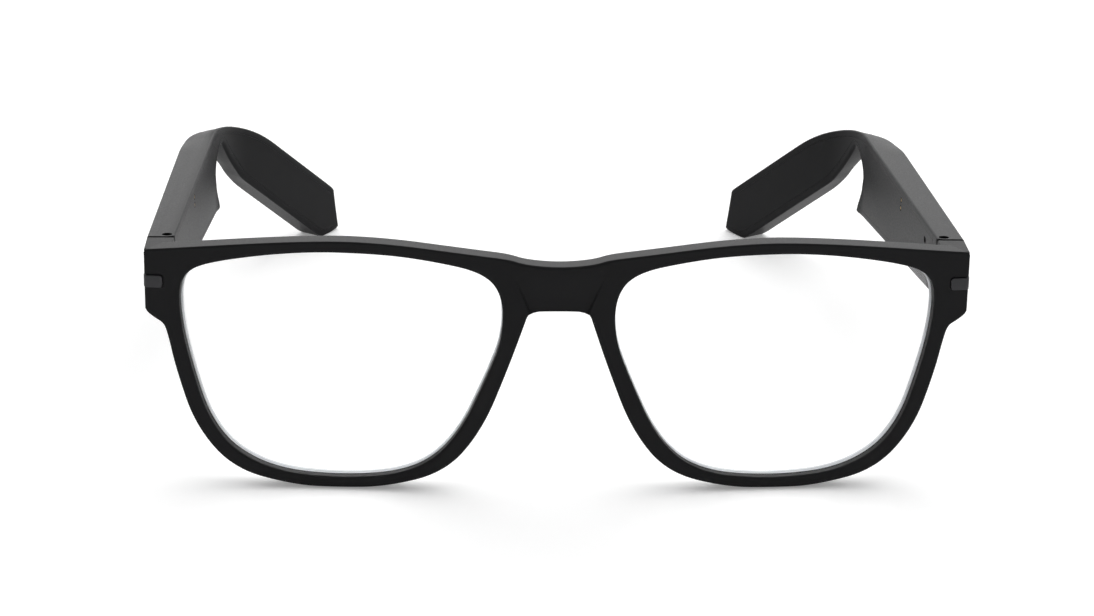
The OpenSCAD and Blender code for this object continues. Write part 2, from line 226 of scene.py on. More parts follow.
def block(low, high, bevel=0.0, segments=4):
    """A milled block between two corners, with its edges rounded by bevel."""
    bm = bmesh.new()
    bmesh.ops.create_cube(bm, size=1)
    size = Vector(high) - Vector(low)
    bmesh.ops.transform(bm, verts=bm.verts, matrix=Matrix.Translation((Vector(low) + size / 2) * MM)
                        @ Matrix.Diagonal((size * MM).to_4d()))
    if bevel:
        bmesh.ops.bevel(bm, geom=bm.edges, offset=bevel * MM, segments=segments, profile=0.5, affect="EDGES")
    mesh = bpy.data.meshes.new("block")
    bm.to_mesh(mesh)
    bm.free()
    obj = bpy.data.objects.new("block", mesh)
    bpy.context.scene.collection.objects.link(obj)
    return obj


def rod(x, y, radius, z0, z1, sides=48):
    """A round tool along Z."""
    turn = np.arange(sides) * 2 * math.pi / sides
    ring = np.stack([x + radius * np.cos(turn), y + radius * np.sin(turn)], 1)
    loops = [np.column_stack([ring, np.full(sides, z)]) for z in (z0, z1)]
    verts, faces = skin(loops)
    return mesh_of("rod", [(verts, faces + [tuple(range(sides)), tuple(range(sides, 2 * sides))])])


def turn_over(obj):
    """Moves a piece to the other side of the face."""
    obj.data.transform(Matrix.Scale(-1, 4, (1, 0, 0)))
    obj.data.flip_normals()


def lens_opening(inset):
    """The lens opening's edge, moved into the rim by inset."""
    curve = smooth_curve(lens_ctrl, 16)
    return curve + normals_left(curve, True) * inset


def rim_sections():
    """The outer edge from the bridge's top round to its underside, and the lens opening's points facing it.
    The last of those face the line down the middle of the bridge."""
    whole = smooth_curve(front_ctrl + [(-x, v) for x, v in front_ctrl[:0:-1]])
    whole = np.roll(whole, -nearest(whole, (0, 42.1)), 0)
    outer = whole[:nearest(whole, (0, 33.9)) + 1]
    opening = lens_opening(0)
    opening = np.roll(opening, -nearest(opening, facing[0][1]), 0)
    outer_runs, lens_runs = [], []
    for (edge_a, lens_a), (edge_b, lens_b) in zip(facing, facing[1:]):
        run = outer[nearest(outer, edge_a):nearest(outer, edge_b) + 1]
        count = max(4, round(np.linalg.norm(np.diff(run, axis=0), axis=1).sum() / 0.6))
        outer_runs.append(resample(run, count)[:-1])
        lens_runs.append(resample(opening[nearest(opening, lens_a):nearest(opening, lens_b) + 1], count)[:-1])
    rest = np.concatenate([opening[nearest(opening, facing[-1][1]):], opening[:1]])
    lens_runs.append(resample(rest, centre_steps)[:-1])
    outer_runs.append(outer[-1:])
    return np.concatenate(outer_runs), np.concatenate(lens_runs)


def front_half():
    """The half of the front on +X, as loops round the lens opening and a strip along the outer edge."""
    outer, lens = rim_sections()
    inward = -normals_left(outer, False)
    inward[0], inward[-1] = (0, -1), (0, 1)
    across = normals_left(lens, True)
    blend = 0.35
    above_lenses = outer[:, 1] > 38
    near_bridge = smoothstep(-np.abs(outer[:, 0]), -bridge_half - blend, -bridge_half + blend) * above_lenses
    front_r = (edge_r + (bridge_edge_r - edge_r) * near_bridge)[:, None]

    def whole_loop(strip):
        """Adds the line down the middle of the bridge to a strip along the outer edge."""
        return np.concatenate([strip, resample(np.stack([strip[-1], strip[0]]), centre_steps)[1:-1]])

    def face(outside, depth, facet):
        """Loops across a face of the rims, from the outer edge in to the lens opening."""
        inside = narrowed(lens + across * (edge_r + (rear_relief if depth else 0)), depth)
        loops = []
        for share in across_rim:
            flat = outside * (1 - share) + inside * share
            loops.append(at_front(flat, depth + facet(flat)))
        return loops

    def hollow(flat):
        """The shallow facet let into the bridge, deepest at its foot, with a crease down each side."""
        x, v = np.abs(flat[:, 0]), flat[:, 1]
        crease = facet_half + (v - facet_foot) * facet_flare
        return facet_depth * smoothstep(crease - x, -0.12, 0.14) * smoothstep(-v, -41, -35)

    front = face(whole_loop(outer + inward * front_r), 0, hollow)
    back = face(whole_loop(outer + inward * edge_r), front_t, lambda flat: 0)
    wall = [(edge_r * a, edge_r * b) for a, b in quarter()[1:]]
    wall += [(0, 1.2)] + groove + [(rear_relief, 3.3)]
    wall += [(rear_relief + edge_r * a, front_t - edge_r * b) for a, b in quarter()[:0:-1]]
    rims = front + [at_front(narrowed(lens + across * a, d), d) for a, d in wall] + back[::-1]
    deep = hollow(outer + inward * front_r)[:, None]
    strip = [at_front(outer + inward * front_r * a, (front_r * b + deep * (1 - b))[:, 0])
             for a, b in quarter()]
    strip += [at_front(outer, np.full(len(outer), d)) for d in (1.6, 2.6)]
    strip += [at_front(outer + inward * edge_r * a, np.full(len(outer), front_t - edge_r * b))
              for a, b in quarter()[::-1]]
    return [skin(rims), skin(strip, closed=False)]


def across_x(parts):
    """The same parts on the other side of the face."""
    return [(v * np.array([-1, 1, 1]), *rest) for v, *rest in parts]


half = front_half()
front = mesh_of("front_moulding", half + across_x(half))

# The block behind each endpiece carries the fixed hinge leaf in a slot open to the back
block_low = 33.1
block_top = 43.9
block_in = 68.6
block_front = 6.8
block_edge_r = 0.3
block_lift = 0.6
leaf_x = 69.95
leaf_t = 0.9
leaf_play = 0.02
slot_front = 8.6
barrel_low = 35.1
barrel_high = 41.3
barrel_play = 0.05


def side_block(side, low, high, bevel=0.0):
    """A block on one side of the face, with y measured from the front face."""
    a, b = ((side * x, y + origin_y, z) for x, y, z in (low, high))
    return block(*[tuple(pick(p, q) for p, q in zip(a, b)) for pick in (min, max)], bevel)


for side in (1, -1):
    endpiece = side_block(side, (block_in, block_front, block_low), (half_w - 0.02, SPLIT_Y, block_top),
                          block_edge_r)
    # Its lower front edge is drawn up into the rim
    for corner in endpiece.data.vertices:
        lower = 1 - smoothstep(corner.co.z / MM, block_low, block_top - 2)
        ahead = 1 - (corner.co.y / MM - origin_y - block_front) / (SPLIT_Y - block_front)
        corner.co.z += block_lift * MM * lower * ahead
    combine(front, [endpiece], "UNION")
    slot = side_block(side, (leaf_x - leaf_play, slot_front, barrel_low - barrel_play),
                      (leaf_x + leaf_t + leaf_play, SPLIT_Y + 2, barrel_high + barrel_play))
    combine(front, [slot], "DIFFERENCE")


def linear(hex_colour):
    """A colour written as sRGB hex, as the linear values that shaders take."""
    parts = [int(hex_colour[i:i + 2], 16) / 255 for i in (1, 3, 5)]
    return [c / 12.92 if c <= 0.04045 else ((c + 0.055) / 1.055) ** 2.4 for c in parts] + [1]


def node(material, kind, settings=None, **links):
    """Adds a node, sets its properties and sockets, and links other nodes' outputs to its inputs."""
    added = material.node_tree.nodes.new(kind)
    for key, value in (settings or {}).items():
        if isinstance(key, str) and hasattr(added, key):
            setattr(added, key, value)
        else:
            added.inputs[key].default_value = value
    for key, output in links.items():
        material.node_tree.links.new(output, added.inputs[key.replace("_", " ")])
    return added


def new_material(name, settings):
    """A material with one Principled shader. Returns it, the shader and a place in mm on the piece."""
    material = bpy.data.materials.new(name)
    material.use_nodes = True
    material.node_tree.nodes.clear()
    shader = node(material, "ShaderNodeBsdfPrincipled", settings)
    node(material, "ShaderNodeOutputMaterial", Surface=shader.outputs[0])
    place = node(material, "ShaderNodeTexCoord").outputs["Object"]
    return material, shader, place


def per_mm(size):
    """The scale that gives a pattern this size in mm on coordinates in metres."""
    return 1 / (size * MM)


def noise(material, place, size, detail=2.0):
    """A soft random pattern of this size in mm."""
    settings = {"Scale": per_mm(size), "Detail": detail}
    return node(material, "ShaderNodeTexNoise", settings, Vector=place).outputs["Fac"]


def spread(material, value, low, high, source_low=0.3, source_high=0.7):
    """A value mapped to a range."""
    settings = {"From Min": source_low, "From Max": source_high, "To Min": low, "To Max": high}
    return node(material, "ShaderNodeMapRange", settings, Value=value).outputs["Result"]


def two_colours(material, share, first, second):
    """A mix of two sRGB colours by a share from 0 to 1."""
    settings = {"data_type": "RGBA", 6: linear(first), 7: linear(second)}
    return node(material, "ShaderNodeMix", settings, Factor=share).outputs[2]


def moulded(name, dark, light, gloss, grain, relief, specular):
    """A moulded plastic: fine spark-eroded grain, faint cloudiness of the pigment, and gloss that varies a
    little."""
    material, shader, place = new_material(name, {"IOR": 1.5, "Specular IOR Level": specular})
    cloud = noise(material, place, 7.0)
    fine = noise(material, place, grain, 3.0)
    link = material.node_tree.links.new
    link(two_colours(material, cloud, dark, light), shader.inputs["Base Color"])
    link(spread(material, fine, gloss - 0.05, gloss + 0.05), shader.inputs["Roughness"])
    bump = node(material, "ShaderNodeBump", {"Strength": 0.35, "Distance": relief * MM}, Height=fine)
    link(bump.outputs[0], shader.inputs["Normal"])
    return material


def finish(obj, material, body, slot, *stands_for):
    """Gives a piece its material and ties it to the frame."""
    obj.data.materials.append(material)
    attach(obj, body)
    if stands_for:
        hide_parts(*stands_for)
    return obj


# Nylon 12, injection moulded in a finely spark-eroded tool: a satin black that stays dark face on
# and turns soft grey where light grazes it. The grain is drawn at 0.3 mm, coarser than the real 0.05 mm.
satin_nylon = moulded("nylon_moulded_satin_black", "#242425", "#272728", 0.36, 0.3, 0.01, 0.03)


# ---- Endpiece plaques ----
# A small inlay in dark grey ABS is let into each endpiece and wraps its corner to the side.
# It is moulded apart, sits a little proud, and leaves a fine shadow gap along its top and its inner end.
plaque_z = 37
plaque_h = 2.2
plaque_l = 3.2
plaque_out = 0.14
plaque_in = 0.5
plaque_side_y = 5.3
plaque_end_y = 12
shadow_gap = 0.11
corner_r = 0.7


def plaque_point(s, v, out):
    """A point s along the inlay from its inner end, at height v on the front, standing out from the faces."""
    face_run = plaque_l - corner_r
    turn_run = corner_r * math.pi / 2
    x0 = half_w - plaque_l
    s = np.asarray(s, float)
    turn = np.clip((s - face_run) / turn_run, 0, 1) * math.pi / 2
    run = np.clip(s, None, face_run)
    back = np.clip(s - face_run - turn_run, 0, None)
    x = x0 + run + (corner_r + out) * np.sin(turn)
    depth = np.where(turn > 0, corner_r - (corner_r + out) * np.cos(turn), -out) + back
    sheet_y = wrap_r - np.sqrt(wrap_r ** 2 - np.minimum(x, half_w - corner_r) ** 2)
    y = (sheet_y + depth) * math.cos(lean) + v * math.sin(lean) + origin_y
    z = v * math.cos(lean) - sheet_y * math.sin(lean) + drop
    return np.stack([x, y, z], -1)


def plaque_solid(name, grow, low_out, high_out, round_r):
    """The inlay's shape, or with grow the recess it lies in."""
    total = plaque_end_y - plaque_side_y + plaque_l + grow
    columns = np.concatenate([-2 * grow + round_r * (1 - np.cos(np.linspace(0, math.pi / 2, 8))),
                              np.linspace(round_r, total + grow, 60)[1:] - 2 * grow])
    half = np.full(len(columns), plaque_h / 2 + grow)
    lead = columns < round_r - 2 * grow
    half[lead] -= round_r - np.sqrt(round_r ** 2 - (round_r - (columns[lead] + 2 * grow)) ** 2)
    middle = plaque_z + plaque_h / 2 + grow
    shares = [-1, -0.97, -0.9, -0.5, 0, 0.5, 0.9, 0.97, 1]
    lifts = [0.6, 0.88, 1, 1, 1, 1, 1, 0.88, 0.6]
    loops = []
    for share, lift in zip(shares, lifts):
        start_fall = 0.4 * smoothstep(-(columns + grow), -0.14, 0)
        end_fall = 0.4 * smoothstep(columns, total - grow - 0.14, total - grow)
        out = high_out * np.minimum(lift, 1 - start_fall - end_fall) if grow == 0 else high_out
        loops.append(plaque_point(columns, middle + half * share, out))
    for share in shares[::-1]:
        loops.append(plaque_point(columns, middle + half * share, low_out))
    verts, faces = skin(loops + loops[:1], closed=False)
    n, rows = len(columns), len(shares)
    for end in (0, n - 1):
        for r in range(rows - 1):
            across = (r, r + 1, 2 * rows - 2 - r, 2 * rows - 1 - r)
            faces.append(tuple(k * n + end for k in across))
    return mesh_of(name, [(verts, faces)])


# ABS, moulded in a dark grey and left matt: it shows lighter than the nylon round it.
grey_abs = moulded("abs_moulded_matt_grey", "#3c3c3e", "#424244", 0.5, 0.35, 0.01, 0.15)
for side, tag in ((1, "left"), (-1, "right")):
    inlay = plaque_solid("endpiece_inlay_" + tag, 0, -plaque_in, plaque_out, 0.55)
    recess = plaque_solid("recess", shadow_gap, -plaque_in - 0.05, 1.5, 0.6)
    if side < 0:
        turn_over(inlay)
        turn_over(recess)
    combine(front, [recess], "DIFFERENCE")
    finish(smooth_faces(inlay), grey_abs, "front", "plaque_plastic", "endpiece_plaque_" + tag)
finish(smooth_faces(front), satin_nylon, "front", "front_plastic", "front_frame")


# ---- Lenses ----
# Two plain lenses in clear polycarbonate, cut to the opening with a tongue ground round the edge.
# They snap into the rims' groove from behind. The ground edge shows through the lens as a pale line.
lens_t = 1.8
lens_front = 1.9
lens_columns = 96
lens_rows = 60
tongue = 0.57


def coons(bottom, top, start, end):
    """Points inside a four-sided outline: bottom and top run along it, start and end run up."""
    u = np.linspace(0, 1, len(bottom))[None, :, None]
    v = np.linspace(0, 1, len(start))[:, None, None]
    ruled = (1 - v) * bottom[None] + v * top[None] + (1 - u) * start[:, None] + u * end[:, None]
    corners = ((1 - u) * (1 - v) * bottom[0] + u * (1 - v) * bottom[-1]
               + (1 - u) * v * top[0] + u * v * top[-1])
    return ruled - corners


def round_trip(sides):
    """The closed loop of four sides, anticlockwise from the start of the bottom."""
    bottom, top, start, end = sides
    return np.concatenate([bottom[:-1], end[:-1], top[:0:-1], start[:0:-1]])


def cap(sides, place):
    """A quad grid that fills the four sides."""
    grid = coons(*sides)
    rows = [place(row) for row in grid]
    return skin(rows, closed=False)


def lens_sides(inset):
    """The lens's edge as four sides, moved inward by inset."""
    edge = lens_opening(-inset)
    corners = [nearest(edge, p) for p in ((23, 5), (13, 41), (65.5, 40), (60, 7))]
    whole = np.concatenate([edge, edge])

    def run(a, b, count):
        a, b = corners[a], corners[b]
        return resample(whole[a:b + 1 + (len(edge) if b < a else 0)], count)

    start, top = run(0, 1, lens_rows), run(1, 2, lens_columns)
    end, bottom = run(2, 3, lens_rows)[::-1], run(3, 0, lens_columns)[::-1]
    return bottom, top, start, end


def lens_pane():
    """The pane's two clear faces and its ground edge, which takes the second material."""
    back = lens_front + lens_t
    # How far in from the opening, and how deep: the front edge, the tongue in the groove, the rear edge
    rims = [(0.05, lens_front), (0.03, lens_front + 0.02), (0.05, lens_front + 0.36),
            (-tongue, lens_front + 0.42), (-tongue, back - 0.62),
            (0.12, back - 0.56), (0.2, back - 0.02), (0.22, back)]
    loops = [at_front(narrowed(round_trip(lens_sides(i)), d), d) for i, d in rims]
    faces = [cap(lens_sides(i), lambda row, d=d: at_front(narrowed(row, d), d))
             for i, d in (rims[0], rims[-1])]
    return faces + [(*skin(loops), 1)]


def clear_polycarbonate():
    """Injection-moulded polycarbonate, hard coated: almost invisible, with a soft mirror at a glancing
    angle."""
    material, shader, place = new_material("polycarbonate_moulded_clear", {
        "Base Color": (1, 1, 1, 1), "Roughness": 0.0, "IOR": 1.586, "Transmission Weight": 1.0})
    output = next(n for n in material.node_tree.nodes if n.type == "OUTPUT_MATERIAL")
    haze = spread(material, noise(material, place, 12.0), 0.0, 0.012)
    material.node_tree.links.new(haze, shader.inputs["Roughness"])
    path = node(material, "ShaderNodeLightPath")
    through = node(material, "ShaderNodeBsdfTransparent")
    mixed = node(material, "ShaderNodeMixShader")
    for index, source in enumerate((path.outputs["Is Shadow Ray"], shader.outputs[0], through.outputs[0])):
        material.node_tree.links.new(source, mixed.inputs[index])
    material.node_tree.links.new(mixed.outputs[0], output.inputs["Surface"])
    return material


# The ground edge of the lens: polycarbonate cut by a diamond wheel, frosted and pale against the rim.
ground_edge = moulded("polycarbonate_ground_edge", "#e0e2e4", "#eaecee", 0.8, 0.25, 0.01, 0.1)
clear_lens = clear_polycarbonate()
for side, tag in ((1, "left"), (-1, "right")):
    parts = lens_pane()
    if side < 0:
        parts = across_x(parts)
    pane = smooth_faces(mesh_of("lens_pane_" + tag, parts))
    finish(pane, clear_lens, "front", "clear_lens", "lens_" + tag)
    pane.data.materials.append(ground_edge)


# ---- Nose pads ----
# A soft silicone pad is pressed onto the back of each rim beside the nose.
# It is a slim rounded teardrop, thickest below the middle, and its near side is sunk into the nylon.
pad_top = np.array([9.4, 26.8])
pad_foot = np.array([12.6, 16.2])
pad_r = 1.2
pad_rings = 33
pad_sides = 32
pad_stand = 0.75
pad_flatness = 0.95


def nose_pad(side):
    """One pad, as rings along its length."""
    run = pad_foot - pad_top
    length = np.linalg.norm(run)
    along = run / length
    across = np.array([-along[1], along[0]])
    loops = []
    for t in np.linspace(0, math.pi, pad_rings):
        place = -math.cos(t)
        swell = math.sin(t) ** 0.7 * (1 + 0.12 * place) * pad_r if 0 < t < math.pi else 0.001
        spine = (pad_top + pad_foot) / 2 + along * place * (length / 2 + pad_r)
        turns = np.arange(pad_sides) * 2 * math.pi / pad_sides
        flat = spine + np.outer(np.cos(turns), across) * swell
        loops.append(at_front(flat, front_t + pad_stand + pad_flatness * np.sin(turns) * swell))
    verts, faces = skin(loops)
    n = pad_sides
    faces += [tuple(range(n)), tuple(range((len(loops) - 1) * n, len(loops) * n))]
    return mesh_of("nose_pad", [(verts * np.array([side, 1, 1]), faces)])


# Silicone rubber, compression moulded: dull, slightly soft black with a faint skin sheen.
pad_silicone = moulded("silicone_moulded_matt_black", "#161618", "#1b1b1d", 0.6, 0.4, 0.01, 0.35)
for side, tag in ((1, "left"), (-1, "right")):
    pad = nose_pad(side)
    pad.name = "pad_" + tag
    finish(smooth_faces(pad), pad_silicone, "front", "pad_silicone", "nose_pad_" + tag)


# ---- Temple shells ----
# Each temple is a deep nylon shell, open to the inner side. It is flat and tall beside the head, is cut away
# behind the ear by a notch, and turns inward and down to the pod that holds the battery.
temple_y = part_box("temple_shell_left")[0].y / MM - origin_y
inner_x = half_w - 4.9
tip_w = 6
bend_y = 94
bend_r = 34
bend_turn = math.radians(33)
bend_x = half_w - tip_w
shell_edge = 0.45
cover_t = 1.0
cover_inset = 1.3
cavity_inset = 1.6
wall_t = 1.2
cover_y = 17.5
cavity_y = 26
# The lines start this far ahead of the shell's end, which is cut off square afterwards
forward = 1.2
# How far the outer face's top falls through the bend, how much of that it wins back, and how far the
# notch's rear wall leans on the outer face
top_fall = 1.7
top_return = 0.4
notch_lean = 1.5
# Side view of the inner face: place along it, height and rounding radius of each corner
lower_corners = [(temple_y - forward, 33.19, 0), (101.4, 18.4, 0.5), (95.2, 27.8, 3.5), (102.6, 33.2, 1.7),
                 (111.3, 21.6, 16), (135.2, 0, 2), (141.7, 0, 1.2)]
upper_corners = [(temple_y - forward, 44.1, 0), (111.3, 35.3, 38), (139.8, 9.8, 1.5)]
# Where a place on the lower edge faces a place on the upper edge. The lower one is a corner's number, or
# a place along the straight run ahead of the notch.
abreast = [("corner", 0, temple_y - forward), ("along", 90, 84), ("corner", 1, 93.5), ("corner", 2, 97.5),
           ("corner", 3, 102.5), ("corner", 4, 117.5), ("corner", 5, 137)]


def rounded_line(corners, before, after, inset, arc_steps=10):
    """A line through rounded corners, moved to its left by inset, and the index of each corner's middle."""
    whole = [before] + list(corners) + [after]
    points, middles = [], []
    for a, b, c in zip(whole, whole[1:], whole[2:]):
        a, radius, c, b = np.array(a[:2]), b[2], np.array(c[:2]), np.array(b[:2])
        u, v = (b - a) / np.linalg.norm(b - a), (c - b) / np.linalg.norm(c - b)
        left_u, left_v = np.array([-u[1], u[0]]), np.array([-v[1], v[0]])
        corner = b + inset * (left_u + left_v) / (1 + left_u @ left_v)
        turn = math.atan2(u[0] * v[1] - u[1] * v[0], u @ v)
        radius = max(radius - inset, 0.25) if turn > 0 else radius + inset
        reach = radius * math.tan(abs(turn) / 2)
        centre = corner - u * reach + left_u * radius * math.copysign(1, turn)
        arm = corner - u * reach - centre
        start = len(points)
        for k in range(arc_steps + 1):
            w = turn * k / arc_steps
            points.append(centre + [arm[0] * math.cos(w) - arm[1] * math.sin(w),
                                    arm[0] * math.sin(w) + arm[1] * math.cos(w)])
        middles.append(start + arc_steps // 2)
    return np.array(points), middles


def temple_sides(inset, front_y=0, outer=0):
    """The temple's side view as four sides, moved inward by inset, from front_y back to the tip.
    The top falls away to the outside through the bend; outer is 1 for the outer face."""
    lower, low_at = rounded_line(lower_corners, upper_corners[0], upper_corners[-1], inset)
    upper, up_at = rounded_line(upper_corners[::-1], lower_corners[-1], lower_corners[0], inset)
    upper = upper[::-1]
    lower = lower[low_at[0]:low_at[-1] + 1]
    upper = upper[len(upper) - 1 - up_at[-1]:len(upper) - up_at[0]]
    straight = lower[:low_at[1] - low_at[0] + 1]
    stations = []
    for kind, low, up_y in abreast:
        if kind == "corner":
            low_point = lower[low_at[low] - low_at[0]]
        else:
            low_point = np.array([low, np.interp(low, straight[:, 0], straight[:, 1])])
        stations.append((low_point, up_y))
    step = 0.9
    counts = [max(6, round(abs(b[1] - a[1]) / step)) for a, b in zip(stations, stations[1:])] + [8]
    dense_low = resample_keeping(lower)
    dense_up = resample_keeping(upper)
    low_i = [nearest(dense_low, p) for p, _ in stations] + [len(dense_low) - 1]
    up_i = [int(np.argmin(np.abs(dense_up[:, 0] - y))) for _, y in stations] + [len(dense_up) - 1]
    low_i[0] = int(np.argmax(dense_low[:, 0] >= front_y))
    up_i[0] = int(np.argmax(dense_up[:, 0] >= front_y))
    bottom = []
    top = []
    for k, count in enumerate(counts):
        bottom.append(resample(dense_low[low_i[k]:low_i[k + 1] + 1], count)[:-1])
        top.append(resample(dense_up[up_i[k]:up_i[k + 1] + 1], count)[:-1])
    bottom = np.concatenate(bottom + [dense_low[-1:]])
    top = np.concatenate(top + [dense_up[-1:]])
    fall = top_fall * smoothstep(top[:, 0], 80, 103) - top_return * smoothstep(top[:, 0], 105, 125)
    top[:, 1] -= outer * fall
    bottom[:, 0] += (outer * notch_lean * smoothstep(bottom[:, 0], 97, 103)
                     * smoothstep(bottom[:, 1], 17, 25))
    start = resample(np.stack([bottom[0], top[0]]), 14)
    end = resample(np.stack([bottom[-1], top[-1]]), 14)
    return [bottom, top, start, end]


def resample_keeping(points):
    """A close-set line through the same corners."""
    return np.concatenate([resample(np.stack([a, b]), max(1, int(np.linalg.norm(b - a) / 0.1)))[:-1]
                           for a, b in zip(points, points[1:])] + [points[-1:]])


def at_temple(flat, out, share):
    """Points on the left temple: flat holds place along the inner face and height, out is measured outward
    from the inner face, and share adds that part of the temple's whole width."""
    y, z = flat[..., 0], flat[..., 1]
    w = np.clip(np.arcsin(np.clip((y - bend_y) / bend_r, 0, math.sin(bend_turn))), 0, bend_turn)
    past = np.clip(y - bend_y - bend_r * math.sin(bend_turn), 0, None) / math.cos(bend_turn)
    straight_x = inner_x + (bend_x - inner_x) * (y - temple_y) / (bend_y - temple_y)
    x = np.where(y < bend_y, straight_x, bend_x - bend_r + bend_r * np.cos(w) - past * math.sin(bend_turn))
    width = np.where(y < bend_y, half_w - x, tip_w)
    d = out + share * width
    return np.stack([x + d * np.cos(w), y + d * np.sin(w) + origin_y, z], -1)


def temple_body():
    """The shell with its recess for the cover and its cavity."""
    outline = round_trip(temple_sides(0))
    outline_out = round_trip(temple_sides(0, outer=1))
    reach = 1.3
    step_in = round_trip(temple_sides(reach)) - outline
    y, z = outline[:, 0], outline[:, 1]
    # The inner edge is rounded more at the tip and along the notch
    tip = smoothstep(y, 138, 140.8)
    ear = smoothstep(y, 96.5, 100) * smoothstep(-y, -114, -106) * (z < 33 - (y - 103) * 0.9)
    inner_r = shell_edge + 0.5 * tip + 0.2 * ear

    def loop(inset, out, share):
        base = outline * (1 - share) + outline_out * share
        return at_temple(base + step_in * (np.asarray(inset) / reach)[..., None], out, share)

    recess = round_trip(temple_sides(cover_inset, cover_y - 0.04))
    lip = round_trip(temple_sides(cover_inset - 0.03, cover_y - 0.07))
    cavity_sides = temple_sides(cavity_inset, cavity_y)
    cavity = round_trip(cavity_sides)
    ledge = cover_t + 0.02
    loops = [at_temple(cavity, -wall_t, 1), at_temple(cavity, ledge, 0), at_temple(recess, ledge, 0),
             at_temple(recess, 0.03, 0), at_temple(lip, 0, 0)]
    loops += [loop(inner_r * a, inner_r * b, 0) for a, b in quarter()]
    loops += [loop(0, 0, s) for s in (0.35, 0.65)]
    loops += [loop(shell_edge * a, -shell_edge * b, 1) for a, b in quarter()[::-1]]
    outer = temple_sides(shell_edge, outer=1)
    floor = cap(cavity_sides, lambda row: at_temple(row, -wall_t, 1))
    # The last loop lies on the outer face's own edge, so that the two weld
    loops[-1] = at_temple(round_trip(outer), 0, 1)
    outer_face = cap(outer, lambda row: at_temple(row, 0, 1))
    return mesh_of("temple_moulding_left", [skin(loops), floor, outer_face])


# The left hinge's pin
pin = frame["joints"][0]["pos_m"]
pin_x = pin[0] / MM
pin_y = pin[1] / MM - origin_y
turn_r = 1.4
barrel_room = 1.45
well_r = 0.95
seat_end = 24.1
room_low = barrel_low - 0.1
room_high = barrel_high + 0.1
shell = temple_body()
front_cut = block((40, temple_y - 8 + origin_y, 0), (90, temple_y + origin_y, 60))
combine(shell, [front_cut], "DIFFERENCE")


# The shell's end is machined round the hinge: a rounded corner, room for the barrels, a well over the screw,
# and a seat for the leaf and its two screws
def left_block(x0, x1, y0, y1, z0, z1):
    return block((x0, y0 + origin_y, z0), (x1, y1 + origin_y, z1))


corner = left_block(inner_x - 1, inner_x + turn_r, temple_y - 1, temple_y + turn_r, 20, 60)
combine(corner, [rod(pin_x, pin_y + origin_y, turn_r, 19, 61, 96)], "DIFFERENCE")
barrels = rod(pin_x, pin_y + origin_y, barrel_room, room_low, room_high)
barrel_side = left_block(pin_x - 4, pin_x + 0.9, pin_y - 4, pin_y + barrel_room, room_low, room_high)
well = rod(pin_x, pin_y + origin_y, well_r, barrel_low, 60)
seat = left_block(inner_x - 1, leaf_x + leaf_t + leaf_play, pin_y, seat_end, room_low, room_high)
# The line that the button and the port are set out from, by its height at the hinge and its far end.
# It runs up to 1.3 mm off the shell's own lower edge.
line_front_z = 31.7
line_end_y = 96.2
line_end_z = 20.5
lower_slope = (line_front_z - line_end_z) / (line_end_y - temple_y)


def underside(y):
    """Height of that line at a place along the temple."""
    return line_front_z - (y - temple_y) * lower_slope


def underside_pill(x, y, length, width, low, high, name="pill", rounds=()):
    """A round-ended solid square to the line along the underside, between two heights above it.
    rounds holds (height, how far it draws in) for any loops between."""
    turn = np.linspace(0, math.pi, 17)
    r = width / 2
    half_run = (length - width) / 2
    loops = []
    tilt = math.atan(lower_slope)
    for height, inset in [(low, 0)] + list(rounds) + [(high, 0)]:
        k = r - inset
        ring = [(k * math.cos(a), half_run + k * math.sin(a)) for a in turn]
        ring += [(-px, -py) for px, py in ring]
        px, py = np.array(ring).T
        loops.append(np.stack([x + px, y + py * math.cos(tilt) + height * math.sin(tilt) + origin_y,
                               underside(y) - py * math.sin(tilt) + height * math.cos(tilt)], 1))
    verts, faces = skin(loops)
    n = len(loops[0])
    return mesh_of(name, [(verts, faces + [tuple(range(n)), tuple(range(len(verts) - n, len(verts)))])])


button_x = pin_x + 0.8
button_y = 44
button_l = 8
button_w = 1.8
button_play = 0.3
port_x = pin_x + 0.2
port_y = 84
port_l = 9
port_w = 1.6
button_hole = underside_pill(button_x, button_y, button_l + button_play, button_w + button_play, -2, 2.5)
port_hole = underside_pill(port_x, port_y, port_l, port_w, -2, 2.5)
combine(shell, [corner, barrels, barrel_side, well, seat, button_hole, port_hole], "DIFFERENCE")
smooth_faces(shell)
shell_right = bpy.data.objects.new("temple_moulding_right", shell.data.copy())
bpy.context.scene.collection.objects.link(shell_right)
turn_over(shell_right)
finish(shell, satin_nylon, "left_temple", "temple_plastic", "temple_shell_left")
finish(shell_right, satin_nylon, "right_temple", "temple_plastic", "temple_shell_right")


# ---- Temple covers ----
# A thin nylon plate closes the inner side of each shell, flush with it, held by glue and snaps.
# The two charging pins come through it, and the left one has the microphone's slot.
contact_y = 51.5
contact_z = (36.6, 38.2)
contact_r = 0.3
contact_play = 0.3
mic_y = 25
mic_z = 40


def cover_plate():
    """The plate, a hair smaller than its recess, with its edge broken on the inner side."""
    gap = 0.015
    edge = 0.05
    rows = [(0, cover_t)] + [(edge * a, edge * b) for a, b in quarter(3)[::-1]]

    def sides(inset):
        return temple_sides(cover_inset + gap + inset, cover_y + gap + inset)

    loops = [at_temple(round_trip(sides(i)), d, 0) for i, d in rows]
    caps = [cap(sides(i), lambda row, d=d: at_temple(row, d, 0)) for i, d in (rows[0], rows[-1])]
    return mesh_of("cover_plate", [skin(loops)] + caps)


def along_x(obj, y, z):
    """Turns a tool made along Z at the origin so that it points along X, and places it."""
    place = Matrix.Translation(Vector((60, y + origin_y, z)) * MM)
    obj.data.transform(place @ Matrix.Rotation(math.pi / 2, 4, "Y"))
    return obj


